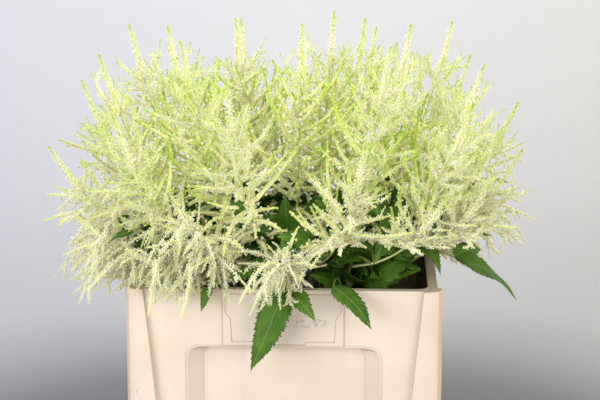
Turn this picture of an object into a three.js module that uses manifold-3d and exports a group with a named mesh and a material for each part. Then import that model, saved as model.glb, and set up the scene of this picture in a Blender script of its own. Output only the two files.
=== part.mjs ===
// White astilbe, cut and bunched, standing in a moulded plastic flower container.
//
// The container is one thin-walled tub: tapered walls between four upright corner posts, a shelf-like
// rim, a deep pocket in each wall and a label plate on the two long ones. Bunches of stems stand on its
// floor, in water: each is tied into a fluted bundle low down and fans out over the rim. Every stem
// carries one plume: an axis with racemes all round it, knobbly with florets. Toothed leaves grow from
// the stems at the height of the rim, and are one body with them.
//
// Millimetres, +Z up. The origin is the middle of the container's underside, and -Y is the front.
import * as THREE from "three";
import { mergeVertices } from "three/addons/utils/BufferGeometryUtils.js";
import Module from "manifold-3d";

const wasm = await Module();
wasm.setup();

// Container, outside sizes over the corner posts.
const LENGTH = 390;
const WIDTH = 290;
const HEIGHT = 320;
const SKIN = 3; // thickness of the moulding
const WALL_INSET = 6; // the walls stand this far inside the posts at the rim
const WALL_LEAN = 12; // and lean in by this much more at the floor
const POST_TOP = 23.5; // width of a post at the rim
const POST_FOOT = 55; // and at the floor
const POST_ROUND = 18; // radius of its outer edge
const SHELF_LENGTH = 354; // the opening inside the rim's flat shelf
const SHELF_WIDTH = 254;
const SHELF_THICK = 4;
const MOUTH_ROUND = 14; // radius of the opening's corners
const POCKET_TOP = 246; // the sunk panel in each wall
const POCKET_FOOT = 45;
const POCKET_LONG = 235; // its length on the long walls
const POCKET_SHORT = 150; // and on the short ones
const POCKET_DEEP = 18;
const POCKET_SLOPE = 17; // how far its side walls lean in
const POCKET_ENDS = { foot: 0.5, top: 0.15 }; // shares of that for its floor and its ceiling
const POCKET_ROUND = 13;
const PLATE_LONG = 150; // the label plate over the pocket
const PLATE_TOP = 315;
const PLATE_FOOT = 248;
const PLATE_PROUD = 3;
const TRAY_DEEP = 1.4; // the label tray inside the plate, open at its top
const TRAY_HALF = [
  // half of its outline from the top down, as [along, up]: a shoulder, then a dip at the middle
  [71, PLATE_TOP + 1],
  [71, 292],
  [65, 283],
  [63, 254],
  [28, 254],
  [26, 250.5],
];

// Water and stems.
const GAP = 0.3; // pieces that touch keep this gap
const WATER_TOP = 40;
const HOLE_RADIUS = 9; // room in the water for one bunch
const TIE_HEIGHT = 110; // up to here the stems of a bunch are tied into one fluted bundle
const STEM_RADIUS = 2.6;
const BUNDLE_RADIUS = 7; // over the stems
const BUNDLE_FLUTE = 1.6; // depth of the grooves between them
const BUNDLE_TOP = 117;
const STEM_LEAN = 4; // a stem starts this far off the middle of its bundle
const BUNCH_COLUMNS = [-0.8, -0.4, 0, 0.4, 0.8]; // shares of the half opening
const BUNCH_ROWS = [-0.5, 0.5];

// Plumes: where their tips end, and where their stems pass the rim.
const PLUMES = 43;
const DOME = {
  halfLength: 288,
  halfWidth: 216,
  middle: 406, // height of its widest part
  top: 234, // and from there to its top
  power: 0.46, // of its profile: 1 gives a ball, less gives a box
  lowest: 97, // degrees down from the top
  roughness: 0.1, // share by which tips stand in or out
};
const LEAFY_SIDE = { bearing: -20, half: 60, share: 0.5, lift: 0.75 }; // leaves hang here, in degrees from +X,
// so plumes lower than this share of the dome stand higher by this part of the rest
const NECK = { halfLength: 144, halfWidth: 97, height: 334 };
const CORNERS = 0.7; // 1 gives an oval plan, less gives a squarer one
const TUB_MARGIN = 1.5; // what grows over the rim stays this far from it
const BLOOM_FLOOR = 321; // no floret hangs lower than this
const FLOOR_RISE = 0.18; // and this level rises outwards from the long walls by so much
const TIP_LIFT = 10; // a plume's tip stays this far over it
const GOLDEN_TURN = Math.PI * (3 - Math.sqrt(5));
const PLUME_LENGTH = 200;
const PLUME_SHARE = 0.8; // a plume takes at most this share of its stem above the rim
const PLUME_BEND = { out: 0.62, up: 0.2 }; // it grows outwards to here, then up, as shares of its way
const AXIS_CORNERS = 4;
const AXIS_PLACES = [0, 0.1, 0.24, 0.38, 0.52, 0.66, 0.79, 0.9]; // rings along a plume's axis
const AXIS_RADII = [3, 9, 12, 12, 11, 9, 7, 4.6]; // at most, where there is room
const THIN_HEART = 5; // leaves leave this much round every axis
const AXIS_ROOM = 0.46; // a plume's heart takes this share of the way to its neighbour
const WHORLS = [
  { ring: 1, reach: 88, tilt: 1.1, radii: [4.8, 5] },
  { ring: 2, reach: 80, tilt: 0.98, radii: [4.8, 5] },
  { ring: 3, reach: 68, tilt: 0.86, radii: [4.6, 4.8] },
  { ring: 4, reach: 56, tilt: 0.76, radii: [4.4, 4.6] },
  { ring: 5, reach: 40, tilt: 0.66, radii: [4] },
];
const SHORTEST_RACEME = 24;
const RACEME_CURL = 0.16; // how far it turns up along the axis, as a share of its length
const RACEME_CUT = 0.88; // it is cut by this until it has room
const SWAY = { tilt: 0.3, turn: 0.5, reach: 0.3 }; // spread of its angles and length
const ROOT_RADIUS = 8; // room kept round a raceme's flared root
const TIP_RADIUS = 0.5; // and round its pointed end

// Leaves: where each blade starts and ends, and its width. A trio has a smaller leaflet on each side too.
const LEAVES = [
  { base: [210, -76, 350], tip: [288, -78, 296], width: 38, trio: true },
  { base: [2, -153, 327], tip: [-38, -168, 226], width: 44 },
  { base: [10, -150, 329], tip: [50, -190, 302], width: 26 },
  { base: [61, -152, 328], tip: [108, -180, 283], width: 28 },
  { base: [-88, -151, 327], tip: [-97, -168, 300], width: 16 },
  { base: [-12, -118, 346], tip: [-66, -146, 336], width: 30 },
  { base: [163, -124, 336], tip: [233, -128, 316], width: 28 },
  { base: [205, -38, 366], tip: [258, -52, 378], width: 26 },
  { base: [208, 2, 418], tip: [286, 12, 428], width: 28 },
  { base: [212, -22, 402], tip: [268, -28, 394], width: 22 },
  { base: [140, -112, 400], tip: [110, -160, 340], width: 38 },
  { base: [160, -112, 376], tip: [190, -160, 340], width: 34 },
  { base: [106, -150, 438], tip: [118, -174, 412], width: 14 },
  { base: [-184, -122, 364], tip: [-214, -138, 352], width: 18 },
];
const INNER_LEAF = { out: 20, height: 346, lean: 30, rise: 86, spread: 1.15, width: 50 }; // by each bunch
const RIM_TRIOS = [38, 72, 141, 176]; // degrees round the rim from +X, each with a trio of its own
const RIM_LEAF = { outside: 8, height: 338, reach: 74, rise: -14, width: 34 };
const LEAF_ARCH = 0.09; // how far a blade bows up, as a share of its length
const LEAF_FOLD = 0.22; // how far its halves fold up, as a share of their width
const LEAF_UPRIGHT = 0.9; // how much its face looks up for each part that it looks outwards
const BLADE_OUTLINE = { fullness: 1.34, base: 0.55, tip: 0.95 }; // broad near the base, drawn out to the tip
const BLADE_THICK = 1.6; // at the midrib, thinning to the edge
const TOOTH_STEP = 17; // millimetres of blade to a tooth, on each side
const TOOTH_PAIRS = [3, 5]; // fewest and most
const TOOTH_DEEP = 0.2; // share of the half width
const TOOTH_LEAN = 0.03; // a tooth points on towards the tip by this share of the length
const ROOM_LINES = [-0.8, -0.4, 0, 0.4, 0.8]; // room is kept along these shares of the half width,
const ROOM_PLACES = [0.03, 0.15, 0.4, 0.7, 0.96]; // through these shares of the length,
const BLADE_ROOM = 0.09; // by rods this fat, as a share of the width
const PETIOLE_RADIUS = 2;
const PETIOLE_DROP = 42; // a petiole leaves its stem this far below its blade
const KNEE_SHARE = 0.62; // and bends over this far along
const KNEE_RISE = 2.5; // this far over its blade's base
const STALK_SHARE = 0.16; // a stalk reaches this far up its blade
const LEAF_LIFTS = [0, 6, -6, 12, -12, 18, 24]; // millimetres, tried in turn until a leaf has room,
const LEAF_TURNS = [0, 10, -10, 20, -20, 32, -32]; // with each of these turns, in degrees
const TRIO_SHARE = 0.68; // size of a side leaflet beside the end one
const TRIO_ANGLE = 62; // degrees between them

const PLACE_SEED = 1000; // of the random spread of the tips
const RACEME_SEED = 5000; // and of the racemes, with the next number for each whorl
const WHORL_SEED = 100;
const PROFILE_STEPS = 240; // straight pieces that the dome's profile is measured in
const ASKEW = [0.31, 0.95, 0.1]; // a direction that nothing grows in

const v = (x, y, z) => new THREE.Vector3(x, y, z);
const UP = v(0, 0, 1);
const clamp = (x, low, high) => Math.min(high, Math.max(low, x));
const numbered = (word, index) => word + "_" + String(index + 1).padStart(2, "0");
const signedPower = (x, power) => Math.sign(x) * Math.abs(x) ** power;

/** Random numbers from 0 to 1, the same each run. */
function seeded(seed) {
  let state = seed;
  return () => {
    state = (state + 0x6d2b79f5) | 0;
    let t = Math.imul(state ^ (state >>> 15), 1 | state);
    t = (t + Math.imul(t ^ (t >>> 7), 61 | t)) ^ t;
    return ((t ^ (t >>> 14)) >>> 0) / 4294967296;
  };
}

// ---------------------------------------------------------------------------------------------
// Solids from rings of points. A ring turns anticlockwise as seen from the end it grows towards.

/** Triangles of a skin over rings of equal count. The first and last ring are capped. */
function loft(rings) {
  const faces = [];
  const last = rings.length - 1;
  const count = rings[0].length;
  for (let i = 1; i < count - 1; i++) {
    faces.push([rings[0][0], rings[0][i + 1], rings[0][i]]);
    faces.push([rings[last][0], rings[last][i], rings[last][i + 1]]);
  }
  for (let k = 0; k < last; k++) {
    for (let i = 0; i < count; i++) {
      const j = (i + 1) % count;
      faces.push([rings[k][i], rings[k][j], rings[k + 1][j]]);
      faces.push([rings[k][i], rings[k + 1][j], rings[k + 1][i]]);
    }
  }
  return faces;
}

/** Triangles as a three.js geometry with its vertices merged. */
function geometryOf(faces) {
  const positions = new Float32Array(faces.flat().flatMap((p) => [p.x, p.y, p.z]));
  const loose = new THREE.BufferGeometry();
  loose.setAttribute("position", new THREE.BufferAttribute(positions, 3));
  return mergeVertices(loose, 1e-3);
}

/** Triangles as a manifold-3d solid, for joining and cutting. */
function solidOf(faces) {
  const geometry = geometryOf(faces);
  return new wasm.Manifold(
    new wasm.Mesh({
      numProp: 3,
      vertProperties: geometry.attributes.position.array,
      triVerts: new Uint32Array(geometry.index.array),
    }),
  );
}

/** A manifold-3d solid back as a three.js geometry. */
function geometryOfSolid(solid) {
  const mesh = solid.getMesh();
  const geometry = new THREE.BufferGeometry();
  geometry.setAttribute("position", new THREE.BufferAttribute(mesh.vertProperties, 3));
  geometry.setIndex(new THREE.BufferAttribute(mesh.triVerts, 1));
  return geometry;
}

const joined = (solids) => solids.reduce((all, solid) => all.add(solid));

/** A ring of points round a centre, square to a direction. */
function ringRound(centre, direction, radius, count) {
  const side = v(...ASKEW).cross(direction).normalize();
  const up = direction.clone().normalize().cross(side);
  return Array.from({ length: count }, (_, i) => {
    const angle = (2 * Math.PI * i) / count;
    return centre
      .clone()
      .addScaledVector(side, radius * Math.cos(angle))
      .addScaledVector(up, radius * Math.sin(angle));
  });
}

/** A tapering rod through points, cut off square at its end or square to a direction given for it. */
function rod(points, radii, sides, endAlong) {
  const last = points.length - 1;
  const rings = points.map((point, i) => {
    const along = points[Math.min(i + 1, last)].clone().sub(points[Math.max(i - 1, 0)]);
    return ringRound(point, i === last && endAlong ? endAlong : along, radii[i], sides);
  });
  return loft(rings);
}

// ---------------------------------------------------------------------------------------------
// Container.

/** A rectangle with round corners, anticlockwise, as [along, up] pairs. */
function roundedOutline(halfLength, low, high, radius, steps = 2) {
  const corners = [
    [halfLength, high, 0],
    [-halfLength, high, 1],
    [-halfLength, low, 2],
    [halfLength, low, 3],
  ];
  return corners.flatMap(([x, y, turn]) =>
    Array.from({ length: steps + 1 }, (_, i) => {
      const angle = (turn + i / steps) * (Math.PI / 2);
      const cx = x - Math.sign(x) * radius;
      const cy = turn < 2 ? y - radius : y + radius;
      return [cx + radius * Math.cos(angle), cy + radius * Math.sin(angle)];
    }),
  );
}

/** Half size of the tapered walls at a height, in by an inset. */
const wallHalf = (size, z, inset) => size / 2 - WALL_INSET - WALL_LEAN * (1 - z / HEIGHT) - inset;

/** The tapered tub between the posts. */
function walls(inset, low, high) {
  const ring = (z) => {
    const x = wallHalf(LENGTH, z, inset);
    const y = wallHalf(WIDTH, z, inset);
    return [v(x, y, z), v(-x, y, z), v(-x, -y, z), v(x, -y, z)];
  };
  return solidOf(loft([ring(low), ring(high)]));
}

/** One corner post, which widens towards the floor while its outer faces stay upright. */
function post(signX, signY, inset, low, high) {
  const ring = (z) => {
    const reach = POST_TOP + (POST_FOOT - POST_TOP) * (1 - z / HEIGHT) - inset;
    const x = LENGTH / 2 - inset;
    const y = WIDTH / 2 - inset;
    const edge = POST_ROUND - inset;
    const inner = [
      [x + inset - reach, y],
      [x + inset - reach, y + inset - reach],
      [x, y + inset - reach],
    ];
    const round = [0, 0.5, 1].map((t) => {
      const angle = (t * Math.PI) / 2;
      return [x - edge + edge * Math.cos(angle), y - edge + edge * Math.sin(angle)];
    });
    const outline = [...inner, ...round].map(([px, py]) => v(signX * px, signY * py, z));
    return signX * signY > 0 ? outline : outline.reverse();
  };
  return solidOf(loft([ring(low), ring(high)]));
}

/** A block set in or on one of the four walls. side 0 is the front; each next one is a quarter turn on. */
function wallBlock(side, inner, innerOut, outer, outerOut) {
  const size = side % 2 ? LENGTH : WIDTH;
  const turn = (side * Math.PI) / 2;
  const place = (outline, out) =>
    outline.map(([along, z]) => v(along, -(wallHalf(size, z, 0) + out), z).applyAxisAngle(UP, turn));
  return solidOf(loft([place(inner, innerOut), place(outer, outerOut)]));
}

/** The sunk panel of one wall, larger all round by a margin. Its inside corners are cut straight. */
function pocket(side, margin) {
  const corner = margin > 0 ? [POCKET_ROUND / 2, 1] : [POCKET_ROUND, 2];
  const half = (side % 2 ? POCKET_SHORT : POCKET_LONG) / 2 + margin;
  const outline = (slope) => {
    const foot = POCKET_FOOT - margin + slope * POCKET_ENDS.foot;
    const top = POCKET_TOP + margin - slope * POCKET_ENDS.top;
    return roundedOutline(half - slope, foot, top, ...corner);
  };
  return wallBlock(side, outline(POCKET_SLOPE), -POCKET_DEEP - margin, outline(-1), 1);
}

/** The label plate of a long wall, with its shallow tray. */
function labelPlate(side) {
  const outline = (edge) => {
    const [half, foot, top] = [PLATE_LONG / 2 - edge, PLATE_FOOT + edge, PLATE_TOP - edge];
    return [
      [half, top],
      [-half, top],
      [-half, foot],
      [half, foot],
    ];
  };
  const plate = wallBlock(side, outline(0), -SKIN / 2, outline(1), PLATE_PROUD);
  const inside = [...TRAY_HALF.map(([along, up]) => [-along, up]), ...TRAY_HALF.toReversed()];
  const tray = wallBlock(side, inside, PLATE_PROUD - TRAY_DEEP, inside, PLATE_PROUD + 1);
  return plate.subtract(tray);
}

/** The tub between two heights, without its pockets: the walls and the four posts. */
function tubBlocks(inset, low, high) {
  const posts = [-1, 1].flatMap((x) => [-1, 1].map((y) => post(x, y, inset, low, high)));
  return [walls(inset, low, high), ...posts];
}

/** The tub's whole outer form, or in by an inset the room inside it. */
function tubForm(inset, low, high) {
  const body = joined(tubBlocks(inset, low, high));
  return [0, 1, 2, 3].reduce((form, side) => form.subtract(pocket(side, inset)), body);
}

function containerSolid() {
  const outline = roundedOutline(SHELF_LENGTH / 2, -SHELF_WIDTH / 2, SHELF_WIDTH / 2, MOUTH_ROUND);
  const ring = (z) => outline.map(([x, y]) => v(x, y, z));
  const mouth = solidOf(loft([ring(HEIGHT - 2 * SHELF_THICK), ring(HEIGHT + 1)]));
  const shell = tubForm(0, 0, HEIGHT).subtract(tubForm(SKIN, SKIN, HEIGHT - SHELF_THICK));
  return joined([shell, labelPlate(0), labelPlate(2)]).subtract(mouth);
}

/** The water, with a plain hole round each bunch. */
function waterSolid() {
  const body = joined(tubBlocks(SKIN + GAP, SKIN + GAP, WATER_TOP));
  return bunches.reduce((water, bunch) => {
    const { x, y } = bunch.centre;
    const ends = [v(x, y, 0), v(x, y, WATER_TOP + 1)];
    return water.subtract(solidOf(rod(ends, [HOLE_RADIUS, HOLE_RADIUS], 6)));
  }, body);
}

// ---------------------------------------------------------------------------------------------
// Where everything that grows goes.

/** How far a point lies outside the box of the container. */
const tubGap = (p) => Math.max(Math.abs(p.x) - LENGTH / 2, Math.abs(p.y) - WIDTH / 2, p.z - HEIGHT);

/** How far a point lies over the level that florets keep to. */
const floorGap = (p) => p.z - BLOOM_FLOOR - FLOOR_RISE * Math.max(0, Math.abs(p.y) - WIDTH / 2);

/** A place down the dome's profile, as [radius, height] from 0 to 1. Equal shares cover equal areas. */
function profileAt(share) {
  const at = (t) => {
    const angle = THREE.MathUtils.degToRad(DOME.lowest * t);
    return [Math.sin(angle) ** DOME.power, signedPower(Math.cos(angle), DOME.power)];
  };
  const areas = [0];
  for (let i = 1; i <= PROFILE_STEPS; i++) {
    const [r0, h0] = at((i - 1) / PROFILE_STEPS);
    const [r1, h1] = at(i / PROFILE_STEPS);
    const slant = Math.hypot((r1 - r0) * DOME.halfLength, (h1 - h0) * DOME.top);
    areas.push(areas[i - 1] + ((r0 + r1) / 2) * slant);
  }
  const found = areas.findIndex((area) => area >= share * areas[PROFILE_STEPS]);
  return at(found / PROFILE_STEPS);
}

/** How much higher up the dome a plume stands than its turn gives, to leave room for hanging leaves. */
function leafyLift(turn, share) {
  const toSide = turn - THREE.MathUtils.degToRad(LEAFY_SIDE.bearing);
  const away = Math.abs(THREE.MathUtils.radToDeg(Math.atan2(Math.sin(toSide), Math.cos(toSide))));
  const nearness = 1 - THREE.MathUtils.smoothstep(away, 0, LEAFY_SIDE.half);
  return LEAFY_SIDE.lift * nearness * Math.max(0, share - LEAFY_SIDE.share);
}

/** One plume: its tip on the dome, its neck at the rim, and the base of its flowering part. */
function placePlume(index) {
  const random = seeded(PLACE_SEED + index);
  const share = (index + 0.5) / PLUMES;
  const turn = index * GOLDEN_TURN;
  const across = signedPower(Math.cos(turn), CORNERS);
  const along = signedPower(Math.sin(turn), CORNERS);
  const [radius, height] = profileAt(share - leafyLift(turn, share));
  const spread = 1 + DOME.roughness * (random() - 0.5);
  const tip = v(
    DOME.halfLength * radius * across * spread,
    DOME.halfWidth * radius * along * spread,
    DOME.middle + DOME.top * height * (1 + DOME.roughness * (random() - 0.5)),
  );
  tip.z += Math.max(0, TIP_LIFT - floorGap(tip));
  const inward = Math.sqrt(share);
  const neck = v(NECK.halfLength * inward * across, NECK.halfWidth * inward * along, NECK.height);
  const bend = neck.clone().lerp(tip, PLUME_BEND.out);
  bend.z = neck.z + PLUME_BEND.up * Math.max(0, tip.z - neck.z);
  const way = new THREE.QuadraticBezierCurve3(neck, bend, tip);
  const start = 1 - Math.min(PLUME_LENGTH / way.getLength(), PLUME_SHARE);
  const axisAt = (t) => way.getPoint(start + (1 - start) * t);
  const alongAt = (t) => way.getTangent(start + (1 - start) * t);
  return { name: numbered("plume", index), index, neck, tip, axisAt, alongAt };
}

const plumes = Array.from({ length: PLUMES }, (_, i) => placePlume(i));

/** Of some things, the one nearest to a point. */
function nearest(things, point, placeOf) {
  const distance = (thing) => placeOf(thing).distanceTo(point);
  return things.reduce((best, thing) => (distance(thing) < distance(best) ? thing : best));
}

/** Bunches stand in rows on the floor, and each plume belongs to the nearest one. */
const bunches = BUNCH_ROWS.flatMap((row) =>
  BUNCH_COLUMNS.map((column) => ({
    centre: v(column * NECK.halfLength, row * NECK.halfWidth, TIE_HEIGHT),
    members: [],
    leaves: [],
  })),
);
bunches.forEach((bunch, k) => (bunch.name = numbered("stems", k)));
for (const plume of plumes) {
  nearest(bunches, plume.neck.clone().setZ(TIE_HEIGHT), (bunch) => bunch.centre).members.push(plume);
}

/** The ways of a bunch's stems: out of the bundle side by side, past the rim, and each to its plume. */
function layStems({ centre, members }) {
  const bearing = ({ neck }) => Math.atan2(neck.y - centre.y, neck.x - centre.x);
  members.sort((one, other) => bearing(one) - bearing(other));
  members.forEach((plume, i) => {
    const angle = bearing(members[0]) + (2 * Math.PI * i) / members.length;
    const tie = centre.clone().add(v(STEM_LEAN * Math.cos(angle), STEM_LEAN * Math.sin(angle), 0));
    const end = plume.axisAt(0).addScaledVector(plume.alongAt(0), -GAP);
    plume.stem = [tie, plume.neck, end];
  });
}

bunches.forEach(layStems);

// ---------------------------------------------------------------------------------------------
// Room: what has grown so far, as round-ended rods. New growth keeps clear of it.

const grown = [];

/** Shortest distance between segments ab and cd. */
function segmentGap(a, b, c, d) {
  const one = b.clone().sub(a);
  const two = d.clone().sub(c);
  const offset = a.clone().sub(c);
  const [aa, bb, ab] = [one.dot(one), two.dot(two), one.dot(two)];
  const [ao, bo] = [one.dot(offset), two.dot(offset)];
  const cross = aa * bb - ab * ab;
  let s = cross > 1e-9 ? clamp((ab * bo - ao * bb) / cross, 0, 1) : 0;
  let t = (ab * s + bo) / bb;
  if (t < 0 || t > 1) {
    t = clamp(t, 0, 1);
    s = aa > 0 ? clamp((ab * t - ao) / aa, 0, 1) : 0;
  }
  return offset.addScaledVector(one, s).addScaledVector(two, -t).length();
}

/** Keeps room for a line of a node. A stem also names the plume that it feeds. */
function occupy(node, points, radii, feeds) {
  for (let i = 0; i + 1 < points.length; i++) {
    const radius = Math.max(radii[i], radii[i + 1]);
    grown.push({ node, from: points[i], to: points[i + 1], radius, feeds });
  }
}

/** Whether a line of a node meets nothing grown, and stays over what gapBelow measures to. */
function isClear(node, points, radii, gapBelow) {
  if (points.some((p, i) => gapBelow(p) < radii[i] + TUB_MARGIN)) return false;
  for (let i = 0; i + 1 < points.length; i++) {
    const radius = Math.max(radii[i], radii[i + 1]) + GAP;
    for (const other of grown) {
      if (other.node === node) continue;
      if (segmentGap(points[i], points[i + 1], other.from, other.to) < radius + other.radius) return false;
    }
  }
  return true;
}

// ---------------------------------------------------------------------------------------------
// Leaves. A blade is a lens: two faces of like triangles that meet along the toothed edge.

/** The shape of a blade: its midrib as a curve, and its sides as directions. */
function bladeFrame(base, tip) {
  const heading = tip.clone().sub(base);
  const outward = v(base.x / LENGTH, base.y / WIDTH, 0).normalize();
  const side = heading.clone().cross(outward.addScaledVector(UP, LEAF_UPRIGHT)).normalize();
  const face = side.clone().cross(heading).normalize();
  const arch = LEAF_ARCH * heading.length();
  const midrib = (u) => base.clone().lerp(tip, u).addScaledVector(face, 4 * arch * u * (1 - u));
  return { side, face, midrib };
}

/** Half width of a blade along its length. */
const bladeHalf = (u, width) =>
  BLADE_OUTLINE.fullness * width * u ** BLADE_OUTLINE.base * (1 - u) ** BLADE_OUTLINE.tip;

function bladeFaces(base, tip, width) {
  const { side, face, midrib } = bladeFrame(base, tip);
  const teeth = clamp(Math.round(base.distanceTo(tip) / TOOTH_STEP), ...TOOTH_PAIRS);
  const ribs = Array.from({ length: teeth - 1 }, (_, i) => (i + 1) / teeth);
  const edges = Array.from({ length: 2 * teeth - 1 }, (_, i) => (i + 1) / (2 * teeth));
  const faces = [];
  for (const hand of [1, -1]) {
    const edge = edges.map((u, i) => {
      const isTooth = i % 2 === 0;
      const reach = bladeHalf(u, width) * (isTooth ? 1 : 1 - TOOTH_DEEP);
      const place = midrib(isTooth ? u + TOOTH_LEAN : u);
      return place.addScaledVector(side, hand * reach).addScaledVector(face, LEAF_FOLD * reach);
    });
    for (const half of [1, -1]) {
      const rib = ribs.map((u) => midrib(u).addScaledVector(face, (half * BLADE_THICK) / 2));
      const [inner, outer] = [[base, ...rib, tip], [base, ...edge, tip]];
      const [innerAt, outerAt] = [[0, ...ribs, 1], [0, ...edges, 1]];
      let [i, j] = [0, 0];
      while (i + 1 < inner.length || j + 1 < outer.length) {
        const goesOut = i + 1 >= inner.length || (j + 1 < outer.length && outerAt[j + 1] <= innerAt[i + 1]);
        const corner = goesOut ? outer[j + 1] : inner[i + 1];
        const triangle = [inner[i], outer[j], corner];
        if (new Set(triangle).size === 3) faces.push(hand * half > 0 ? triangle : triangle.reverse());
        if (goesOut) j += 1;
        else i += 1;
      }
    }
  }
  return faces;
}

/** Lines along a blade that keep other growth out of it. */
function bladeLines(base, tip, width) {
  const { side, midrib } = bladeFrame(base, tip);
  return ROOM_LINES.map((offset) =>
    ROOM_PLACES.map((u) => midrib(u).addScaledVector(side, offset * bladeHalf(u, width))),
  );
}

/** A leaf's stalk and blades, lifted and turned a little, from the nearest stem. */
function leafOf({ base, tip, width, trio }, lift, degrees) {
  const fork = v(...base).setZ(base[2] + lift);
  const reach = v(...tip).sub(v(...base)).applyAxisAngle(UP, THREE.MathUtils.degToRad(degrees));
  const point = fork.clone().add(reach);
  const rise = Math.min(fork.z - PETIOLE_DROP, NECK.height) - TIE_HEIGHT;
  const startOf = ({ way }) => way[0].clone().lerp(way[1], rise / (NECK.height - TIE_HEIGHT));
  const stems = bunches.flatMap((bunch) => bunch.members.map((plume) => ({ bunch, way: plume.stem })));
  const stem = nearest(stems, fork, startOf);
  const start = startOf(stem);
  const knee = start.clone().lerp(fork, KNEE_SHARE).setZ(fork.z + KNEE_RISE);
  const { face, midrib } = bladeFrame(fork, point);
  const sides = [1, -1].map((hand) => {
    const angle = THREE.MathUtils.degToRad(hand * TRIO_ANGLE);
    const heading = point.clone().sub(fork).multiplyScalar(TRIO_SHARE).applyAxisAngle(face, angle);
    return [fork, fork.clone().add(heading), width * TRIO_SHARE];
  });
  return {
    bunch: stem.bunch,
    stalk: [start, knee, fork, midrib(STALK_SHARE)],
    blades: [[fork, point, width], ...(trio ? sides : [])],
  };
}

/** The rods that keep room round a leaf's blades, as [points, radii]. */
const bladeRods = ({ blades }) =>
  blades.flatMap(([base, tip, width]) =>
    bladeLines(base, tip, width).map((line) => [line, line.map(() => BLADE_ROOM * width + 1)]),
  );

const stalkRadii = [PETIOLE_RADIUS, PETIOLE_RADIUS, PETIOLE_RADIUS, PETIOLE_RADIUS / 2];

function leafIsClear(leaf) {
  const node = leaf.bunch.name;
  const blades = bladeRods(leaf).every((rods) => isClear(node, ...rods, tubGap));
  return blades && isClear(node, leaf.stalk, stalkRadii, () => Infinity);
}

/** A leaf that hangs over the rim, some degrees round from +X. */
function rimLeaf(degrees) {
  const turn = THREE.MathUtils.degToRad(degrees);
  const [across, along] = [Math.cos(turn), Math.sin(turn)];
  const reach = 1 / Math.max(Math.abs(across) / (LENGTH / 2), Math.abs(along) / (WIDTH / 2));
  const near = reach + RIM_LEAF.outside;
  const far = near + RIM_LEAF.reach;
  return {
    base: [near * across, near * along, RIM_LEAF.height],
    tip: [far * across, far * along, RIM_LEAF.height + RIM_LEAF.rise],
    width: RIM_LEAF.width,
    trio: true,
  };
}

/** A leaf that stands up beside a bunch, on the side of its row. */
function innerLeaf({ centre }) {
  const out = Math.sign(centre.y);
  const y = centre.y + out * INNER_LEAF.out;
  return {
    base: [centre.x, y, INNER_LEAF.height],
    tip: [INNER_LEAF.spread * centre.x, y + out * INNER_LEAF.lean, INNER_LEAF.height + INNER_LEAF.rise],
    width: INNER_LEAF.width,
  };
}

/** Grows a leaf at its place, or a little off it where that is taken. */
function growLeaf(place) {
  const tries = LEAF_TURNS.flatMap((degrees) => LEAF_LIFTS.map((lift) => leafOf(place, lift, degrees)));
  const leaf = tries.find(leafIsClear);
  if (!leaf) return;
  leaf.bunch.leaves.push(leaf);
  occupy(leaf.bunch.name, leaf.stalk, stalkRadii);
  for (const rods of bladeRods(leaf)) occupy(leaf.bunch.name, ...rods);
}

// ---------------------------------------------------------------------------------------------
// Plumes. An axis or raceme is a stack of three-cornered rings, each turned half a step from the last,
// so that every corner stands out as a floret. A raceme grows out of one triangle of the axis.

const centroid = (points) => points.reduce((sum, p) => sum.add(p), v(0, 0, 0)).divideScalar(points.length);

/** The next ring of a stack, its corners between those of the last. */
function nextRing(ring, centre, direction, radius) {
  const middle = centroid(ring);
  return ring.map((corner, i) => {
    const between = corner.clone().add(ring[(i + 1) % ring.length]).multiplyScalar(0.5).sub(middle);
    between.addScaledVector(direction, -between.dot(direction)).setLength(radius);
    return between.add(centre);
  });
}

/** Adds a stack to faces, from a ring to a tip. onUpright(k, i, face) may take an upright face over. */
function growStack(faces, rings, tip, onUpright = () => false) {
  const count = rings[0].length;
  for (let k = 0; k + 1 < rings.length; k++) {
    for (let i = 0; i < count; i++) {
      const j = (i + 1) % count;
      const upright = [rings[k][i], rings[k][j], rings[k + 1][i]];
      if (!onUpright(k, i, upright)) faces.push(upright);
      faces.push([rings[k][j], rings[k + 1][j], rings[k + 1][i]]);
    }
  }
  const last = rings[rings.length - 1];
  for (let i = 0; i < count; i++) faces.push([last[i], last[(i + 1) % count], tip]);
}

/** How fat a plume's heart may be round one ring, so that neighbours share the room. */
function roomFor(plume, k) {
  const [before, here, after] = [plume.axis[k - 1], plume.axis[k], plume.axis[k + 1]];
  const gapTo = (from, to) =>
    Math.min(segmentGap(before, here, from, to), segmentGap(here, after, from, to));
  const shares = plumes
    .filter((other) => other !== plume)
    .flatMap(({ axis }) => axis.slice(1).map((end, i) => AXIS_ROOM * gapTo(axis[i], end)));
  const gaps = grown
    .filter((other) => other.node !== plume.name && other.feeds !== plume.index)
    .map((other) => gapTo(other.from, other.to) - other.radius - TUB_MARGIN);
  return Math.min(floorGap(here), ...shares, ...gaps);
}

function axisRings(plume) {
  const rings = [ringRound(plume.axis[0], plume.alongAt(0), AXIS_RADII[0], AXIS_CORNERS)];
  for (let k = 1; k < AXIS_PLACES.length; k++) {
    const radius = clamp(roomFor(plume, k), AXIS_RADII[0], AXIS_RADII[k]);
    rings.push(nextRing(rings[k - 1], plume.axis[k], plume.alongAt(AXIS_PLACES[k]), radius));
  }
  return rings;
}

/** The room that a whorl's racemes need along their lines. */
const racemeRoom = ({ radii }) => [ROOT_RADIUS, ...radii, TIP_RADIUS];

/** The bent line of a raceme: out of the axis, then turning up along it. */
function racemeWay(root, out, axis, tilt, reach, count) {
  const start = out.clone().multiplyScalar(Math.sin(tilt));
  start.addScaledVector(axis, Math.cos(tilt)).normalize();
  return Array.from({ length: count }, (_, k) => {
    const t = (k + 1) / count;
    return root
      .clone()
      .addScaledVector(start, reach * t)
      .addScaledVector(axis, RACEME_CURL * reach * t * t);
  });
}

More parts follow.
